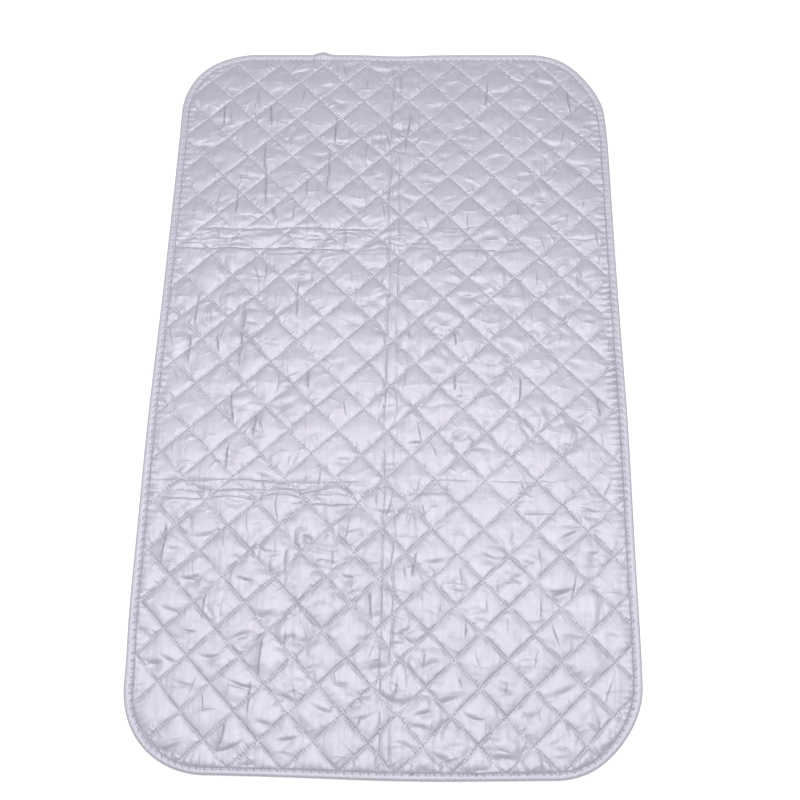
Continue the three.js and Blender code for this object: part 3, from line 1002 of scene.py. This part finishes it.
def stitch_holes(s, section):
    """How deep the needle holes draw the tape in: slanted, and deepest in the valleys of the gathers."""
    stitches = gather_count(s) * STITCHES_PER_GATHER
    number = np.rint(stitches)
    in_valley = number % STITCHES_PER_GATHER == 0
    depth = HOLE_DEPTH * np.where(in_valley, 1.0, 0.55) * (0.9 + 0.4 * soft_noise(42, number * 0.73))
    away = BINDING_STITCH * (stitches - number)[:, None] + HOLE_SLANT * (section[:, 0] - SEAM_INSET)
    return section[:, 3] * (depth[:, None] * bump_of(away))


def tape_points(s, section):
    """Points of the tape's section at lengths s round the outline."""
    core, outward = outline_place(s)
    inner = np.clip((section[:, 0] - TURN_INSET) / (TAPE_WIDTH - TURN_INSET), 0, 1)
    wider = tape_width(outward[:, 1, None]) - TAPE_WIDTH
    edge = core + outward * CORNER_RADIUS
    wave = (rim_wave(s) * rim_strength(edge[:, 0], edge[:, 1]))[:, None]
    pull = 0.55 * wave * section[:, 2]
    reach = CORNER_RADIUS - section[:, 0] - wider * inner - pull
    x = core[:, 0, None] + outward[:, 0, None] * reach
    y = core[:, 1, None] + outward[:, 1, None] * reach
    fine = 0.07 * soft_noise(41, s[:, None] / 2.3, section[:, 0] / 1.7)
    height = section[:, 1] + section[:, 2] * (0.5 * wave + fine) - stitch_holes(s, section)
    return np.stack([*settled(x, y), height], -1)


def stations_between(first, last):
    """Lengths round the outline from first to last, at an even spacing."""
    count = int(round((last - first) / STATION_SPACING))
    return np.linspace(first, last, count + 1)


def strip_mesh(name, points, flat, material):
    """A closed strip through rings of points, which run over its outside and then back along its inside."""
    stations, around = points.shape[:2]
    index = np.arange(stations * around).reshape(stations, around)
    after = np.roll(index, -1, axis=1)
    quads = np.stack([index[:-1], after[:-1], after[1:], index[1:]], -1).reshape(-1, 4)
    caps = []
    for ring, flip in ((index[0], 1), (index[-1], -1)):
        mirror = ring[::-1]
        caps += [[ring[k + 1], ring[k], mirror[k], mirror[k + 1]][::flip] for k in range(around // 2 - 1)]
    mesh = new_mesh(name, points.reshape(-1, 3), [quads, np.array(caps)], material)
    set_uv(mesh, flat)
    return mesh


def swept_normals(points):
    """Unit normals of a strip through rings of points."""
    half = points.shape[1] // 2
    sides = (points[:, :half], points[:, half:])
    return np.concatenate([unit(np.cross(np.gradient(p, axis=1), np.gradient(p, axis=0))) for p in sides], 1)


def tape_piece(name, first, last, material):
    """The tape between two lengths round the outline, as a closed folded strip."""
    outside, inside = tape_section()
    section = np.concatenate([outside, inside])
    s = stations_between(first, last)
    points = tape_points(s, section)
    steps = np.linalg.norm(np.diff(section[:, :2], axis=0, prepend=section[:1, :2]), axis=1)
    flat = np.column_stack([np.repeat(s, len(section)), np.tile(np.cumsum(steps), len(s))])
    mesh = strip_mesh(name, points, flat, material)
    mesh.normals_split_custom_set_from_vertices(swept_normals(points).reshape(-1, 3))
    piece = new_object(name, mesh)
    return piece


def side_length(y, left):
    """The length round the outline of the point at y on a long side."""
    if left:
        return SIDE_RUN + 2 * CORNER_ARC + END_RUN + CORE[1] - y
    return y + CORE[1]


def tape_runs():
    """Each stretch of the tape: its zone, the node that it stands for, and its two ends round the outline."""
    right_front, right_back = side_length(FRONT_SEAM_Y, False), side_length(BACK_SEAM_Y, False)
    left_front, left_back = side_length(FRONT_SEAM_Y, True), side_length(BACK_SEAM_Y, True)
    return [
        ("middle", "binding_right", right_front, right_back),
        ("back", "binding_back", right_back, left_back),
        ("middle", "binding_left", left_back, left_front),
        ("front", "binding_front", left_front, right_front + PERIMETER),
    ]


def binding_stitches(name, first, last, zone, material):
    """The row of stitches that holds the tape down, on the face and underneath."""
    outside, _ = tape_section()
    seams = outside[np.abs(outside[:, 0] - SEAM_INSET) < 1e-6]
    s = stations_between(first, last)
    stitches = gather_count(s) * STITCHES_PER_GATHER
    holes = np.interp(np.arange(math.ceil(stitches[0]), math.floor(stitches[-1]) + 1), stitches, s)
    top_row, under_row = tape_points(holes, seams).transpose(1, 0, 2)
    for side, row, lift, arch in (("top", top_row, 0.35, 0.7), ("under", under_row, -0.02, -0.1)):
        row = row + lift * UP
        add_thread(f"{name}_{side}", zone, row[:-1], row[1:], BINDING_THREAD, arch, 5, material)


def add_binding(tape_material, thread_material):
    for zone, node_name, first, last in tape_runs():
        piece = tape_piece(node_name.replace("binding", "tape"), first, last, tape_material)
        carry(piece, zone)
        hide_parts(node_name)
        binding_stitches(node_name.replace("binding", "tape_thread"), first, last, zone, thread_material)


# Lap: the turned-in end of the tape over its start, on the back edge

LAP_RISE = 1.1
LAP_BULGE = 3.0
LAP_FLAP = 0.5
LAP_CLEARANCE = 0.12
LAP_LOWEST = 0.35
LAP_STATIONS = 33
LAP_WEAVE_STEP = 0.8


def lap_points(x, section, share):
    """Points of the lap at places x along the back edge, off the tape by a share of its thickness."""
    base = tape_points(SIDE_RUN + CORNER_ARC + CORE[0] - x, section)
    outward = facing(section)
    along = (x - LAP_LEFT) / LAP_LENGTH
    swell = np.clip(along / 0.07, 0.3, 1) * (0.45 + 0.55 * bump_of((along - 0.45) / 0.25))
    swell = swell * np.clip((1 - along) / 0.4, 0.2, 1)
    nose = np.clip(-outward[:, 0], 0, 1)
    flap = LAP_FLAP * eased((4.4 - section[:, 0]) / 0.8)
    thickness = LAP_RISE + flap + (LAP_BULGE - LAP_RISE) * nose ** 2
    stand = LAP_CLEARANCE + share * swell[:, None] * thickness
    base[..., 1] -= stand * outward[:, 0]
    base[..., 2] += stand * outward[:, 1]
    base[..., 2] = np.maximum(base[..., 2], LAP_LOWEST)
    return base


def add_lap(material):
    section = np.array(tape_profile()[0])
    x = np.linspace(LAP_LEFT + LAP_LENGTH, LAP_LEFT, LAP_STATIONS)
    outer, inner = lap_points(x, section, 1.0), lap_points(x, section, 0.0)
    points = np.concatenate([outer, inner[:, ::-1]], 1)
    around = points.shape[1]
    flat = np.column_stack([np.repeat(x, around), np.tile(np.arange(around) * LAP_WEAVE_STEP, LAP_STATIONS)])
    lap = new_object("tape_lap", strip_mesh("tape_lap", points, flat, material))
    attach(lap, "back_panel")
    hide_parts("binding_lap")


# Materials

def fill_inputs(tree, made, inputs):
    """Sets a node's inputs to values, or joins them to other sockets."""
    for socket, value in inputs.items():
        if isinstance(value, bpy.types.NodeSocket):
            tree.links.new(value, made.inputs[socket])
        else:
            made.inputs[socket].default_value = value


def node(tree, kind, inputs=None, **settings):
    """A shader node with its settings and inputs."""
    made = tree.nodes.new(kind)
    for name, value in settings.items():
        setattr(made, name, value)
    fill_inputs(tree, made, inputs or {})
    return made


def new_material(name):
    """A material with an empty Principled shader, and its tree."""
    material = bpy.data.materials.new(name)
    material.use_nodes = True
    tree = material.node_tree
    return material, tree, tree.nodes["Principled BSDF"]


def cut_place(tree, scale):
    """Places on the flat cut, stretched by scale."""
    uv = node(tree, "ShaderNodeUVMap", uv_map="flat_cut")
    mapping = node(tree, "ShaderNodeMapping", {"Vector": uv.outputs["UV"], "Scale": (*scale, 1)})
    return mapping.outputs["Vector"]


def noise(tree, scale, detail=2.0):
    """Noise on the flat cut, with that many features to a metre each way."""
    made = node(tree, "ShaderNodeTexNoise", {
        "Vector": cut_place(tree, scale), "Scale": 1.0, "Detail": detail, "Roughness": 0.5})
    return made.outputs["Fac"]


def threads(tree, spacing, direction):
    """Parallel threads on the flat cut, spacing metres apart."""
    made = node(tree, "ShaderNodeTexWave", {
        "Vector": cut_place(tree, (1, 1)), "Scale": math.pi / (10 * spacing),
        "Distortion": 0.6, "Detail": 1.0}, bands_direction=direction)
    return made.outputs["Fac"]


def between(tree, factor, low, high):
    """A factor from 0 to 1, spread from low to high."""
    made = node(tree, "ShaderNodeMapRange", {"Value": factor, "To Min": low, "To Max": high})
    return made.outputs["Result"]


def maths(tree, operation, first, second):
    return node(tree, "ShaderNodeMath", {0: first, 1: second}, operation=operation).outputs[0]


def blended(tree, first, first_share, second, second_share):
    """Two values added up, each by its share."""
    first, second = maths(tree, "MULTIPLY", first, first_share), maths(tree, "MULTIPLY", second, second_share)
    return maths(tree, "ADD", first, second)


def mottled(tree, colour, darker, factor):
    """A colour that a factor takes down to darker."""
    mix = node(tree, "ShaderNodeMix", {"Factor": factor}, data_type="RGBA")
    mix.inputs["A"].default_value = (*darker, 1)
    mix.inputs["B"].default_value = (*colour, 1)
    return mix.outputs["Result"]


def bumped(tree, height, distance, strength, **under):
    """Normals over a height of that distance in metres, laid over other normals where they are given."""
    inputs = {"Height": height, "Distance": distance, "Strength": strength, **under}
    return node(tree, "ShaderNodeBump", inputs).outputs["Normal"]


def silver_cloth(name, colour, darker, roughness, metallic):
    """Silver-coated satin: streaked along its warp, finely woven, with a soft shine."""
    material, tree, shader = new_material(name)
    tone = blended(tree, noise(tree, (330, 9), detail=3), 0.55, noise(tree, (11, 11), detail=3), 0.45)
    weave = blended(tree, threads(tree, 0.00042, "X"), 1.0, threads(tree, 0.0006, "Y"), 0.5)
    woven = bumped(tree, weave, 0.00003, 0.5)
    crinkle = noise(tree, (420, 260), detail=3)
    fill_inputs(tree, shader, {
        "Base Color": mottled(tree, colour, darker, between(tree, tone, -0.3, 1.3)),
        "Roughness": between(tree, noise(tree, (160, 60)), roughness - 0.06, roughness + 0.06),
        "Normal": bumped(tree, crinkle, 0.00025, 0.8, Normal=woven),
        "Metallic": metallic,
        "Sheen Weight": 0.15,
        "Sheen Roughness": 0.4,
    })
    return material


def thread_material():
    """Spun polyester thread, with the slant of its twist, and painted shade darkening the grooves between its
    plies.
    """
    material, tree, shader = new_material("silver_thread")
    wave = node(tree, "ShaderNodeTexWave", {
        "Vector": cut_place(tree, (1, 1)), "Scale": 700.0, "Distortion": 0.4}, bands_direction="DIAGONAL")
    twist = wave.outputs["Fac"]
    fill_inputs(tree, shader, {
        # painted shade: the thread's colour darkens where the twist's bump is low, in the grooves between its
        # plies
        "Base Color": mottled(tree, (0.9, 0.88, 0.95), (0.76, 0.74, 0.82), twist),
        "Normal": bumped(tree, twist, 0.00004, 0.6),
        "Roughness": 0.5,
    })
    return material


def cotton_material():
    """Plain natural cotton with an open even weave and a few slubs."""
    material, tree, shader = new_material("natural_cotton")
    slubs = blended(tree, noise(tree, (18, 700)), 0.5, noise(tree, (700, 18)), 0.5)
    weave = maths(tree, "ADD", threads(tree, 0.0007, "X"), threads(tree, 0.0007, "Y"))
    fill_inputs(tree, shader, {
        "Base Color": mottled(tree, (0.76, 0.74, 0.69), (0.6, 0.575, 0.52), between(tree, slubs, -0.2, 1.2)),
        "Normal": bumped(tree, weave, 0.00012, 0.7),
        "Roughness": between(tree, slubs, 0.95, 0.85),
        "Sheen Weight": 0.2,
    })
    return material


def fibre_material():
    """White fibre batting."""
    material, tree, shader = new_material("fibre_batting")
    fibres = maths(tree, "ADD", noise(tree, (900, 120), detail=4), noise(tree, (120, 900), detail=4))
    fill_inputs(tree, shader, {
        "Base Color": mottled(tree, (0.9, 0.89, 0.86), (0.74, 0.73, 0.7), between(tree, fibres, -0.5, 0.8)),
        "Normal": bumped(tree, fibres, 0.0006, 0.8),
        "Roughness": 1.0,
        "Sheen Weight": 0.4,
    })
    return material


# Layers


def lowest_near(height):
    """The least height within one stitch of each grid point."""
    for axis in (0, 1):
        height = np.minimum.reduce([np.roll(height, k, axis) for k in range(-FINE, FINE + 1)])
    return height


def place_layer(piece, zone, node_name):
    carry(piece, zone)
    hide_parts(node_name)


def add_layers(face_material, wadding_material, backing_material):
    """The face, the wadding and the backing, each in three parts that meet beside the folds."""
    pillows = pillow_shares()
    face_top = on_grid(face_height(pillows), RIM_TOP)
    lift = RIM_LIFT * np.clip(1 - inside_tape / SEAM_RAMP, 0, 1)
    drawn_up = BACKING_ROW_LIFT * (1 - pillows) * np.clip(inside_tape / 4, 0, 1)
    backing_low = on_grid(np.maximum(lift, drawn_up), RIM_LIFT)
    backing_top = backing_low + BACKING_THICKNESS
    face_low = lowest_near(face_top) - FACE_THICKNESS
    wadding_low = backing_top + LAYER_GAP
    wadding_top = np.maximum(face_low - WADDING_CLEARANCE, wadding_low + WADDING_LEAST)
    face_normals = surface_normals(face_top)
    backing_normals = -surface_normals(backing_low)
    squares = stitch_squares()
    cut_edge(squares)
    for zone in ZONES:
        face = layer_piece(
            f"silver_face_{zone}", zone, squares, face_top, face_low, face_material, normals=face_normals)
        place_layer(face, zone, f"face_cover_{zone}")
        wadding = layer_piece(
            f"wadding_layer_{zone}", zone, squares, wadding_top, wadding_low, wadding_material)
        place_layer(wadding, zone, f"wadding_{zone}")
        backing = layer_piece(
            f"cotton_backing_{zone}", zone, squares, backing_top, backing_low, backing_material,
            low_normals=backing_normals)
        place_layer(backing, zone, f"backing_{zone}")
    return face_top, backing_low


# Floor, light and camera

FLOOR_DROP = 0.0002
FLOOR_HALF = 6.0
FLOOR_GLOW = 0.45


def add_floor():
    """A plain pale floor that looks white, and keeps the pad's shadow."""
    mesh = bpy.data.meshes.new("floor")
    h = FLOOR_HALF
    mesh.from_pydata([(-h, -h, 0), (h, -h, 0), (h, h, 0), (-h, h, 0)], [], [(0, 1, 2, 3)])
    floor = new_object("floor", mesh)
    floor.location.z = -FLOOR_DROP
    material, tree, shader = new_material("pale_floor")
    path = node(tree, "ShaderNodeLightPath")
    fill_inputs(tree, shader, {
        "Base Color": (0.86, 0.86, 0.86, 1),
        "Roughness": 0.8,
        "Emission Color": (1, 1, 1, 1),
        "Emission Strength": maths(tree, "MULTIPLY", path.outputs["Is Camera Ray"], FLOOR_GLOW),
    })
    mesh.materials.append(material)


def add_world(fill):
    """Even fill light, and a white background where the camera or a ray through glass sees past the floor."""
    world = bpy.data.worlds.new("studio")
    bpy.context.scene.world = world
    world.use_nodes = True
    tree = world.node_tree
    path = node(tree, "ShaderNodeLightPath")
    seen = maths(tree, "MAXIMUM", path.outputs["Is Camera Ray"], path.outputs["Is Transmission Ray"])
    fill_inputs(tree, tree.nodes["Background"], {
        "Color": (1, 1, 1, 1),
        "Strength": between(tree, seen, fill, 1.0),
    })


def add_lamp(name, place, target, size, power):
    """A soft box of a width and depth at place, turned to target."""
    light = bpy.data.lights.new(name, "AREA")
    light.shape = "RECTANGLE"
    light.size, light.size_y = size
    light.energy = power
    lamp = new_object(name, light)
    lamp.location = place
    away = Vector(place) - Vector(target)
    lamp.rotation_euler = away.to_track_quat("Z", "Y").to_euler()


def add_camera():
    data = bpy.data.cameras.new("camera")
    data.sensor_width = SENSOR_WIDTH
    data.lens = CAMERA_LENS
    camera = new_object("camera", data)
    turn = Euler([math.radians(angle) for angle in CAMERA_TURN], "XYZ").to_matrix().transposed()
    camera.matrix_world = turn.to_4x4()
    camera.location = CAMERA_PLACE
    bpy.context.scene.camera = camera


bpy.context.scene.view_settings.view_transform = "Standard"
add_camera()
add_floor()
add_world(FILL_STRENGTH)
add_lamp("soft_box", SOFT_BOX_PLACE, (0, 0, 0), SOFT_BOX_SIZE, SOFT_BOX_POWER)

silver = silver_cloth("silver_satin", (0.70, 0.675, 0.78), (0.60, 0.575, 0.67), 0.55, 0.52)
silver_tape = silver_cloth("silver_tape", (0.72, 0.695, 0.80), (0.62, 0.595, 0.69), 0.57, 0.48)
thread = thread_material()
top_height, under_height = add_layers(silver, fibre_material(), cotton_material())
quilting_threads(top_height, under_height, thread)
add_binding(silver_tape, thread)
add_lap(silver_tape)
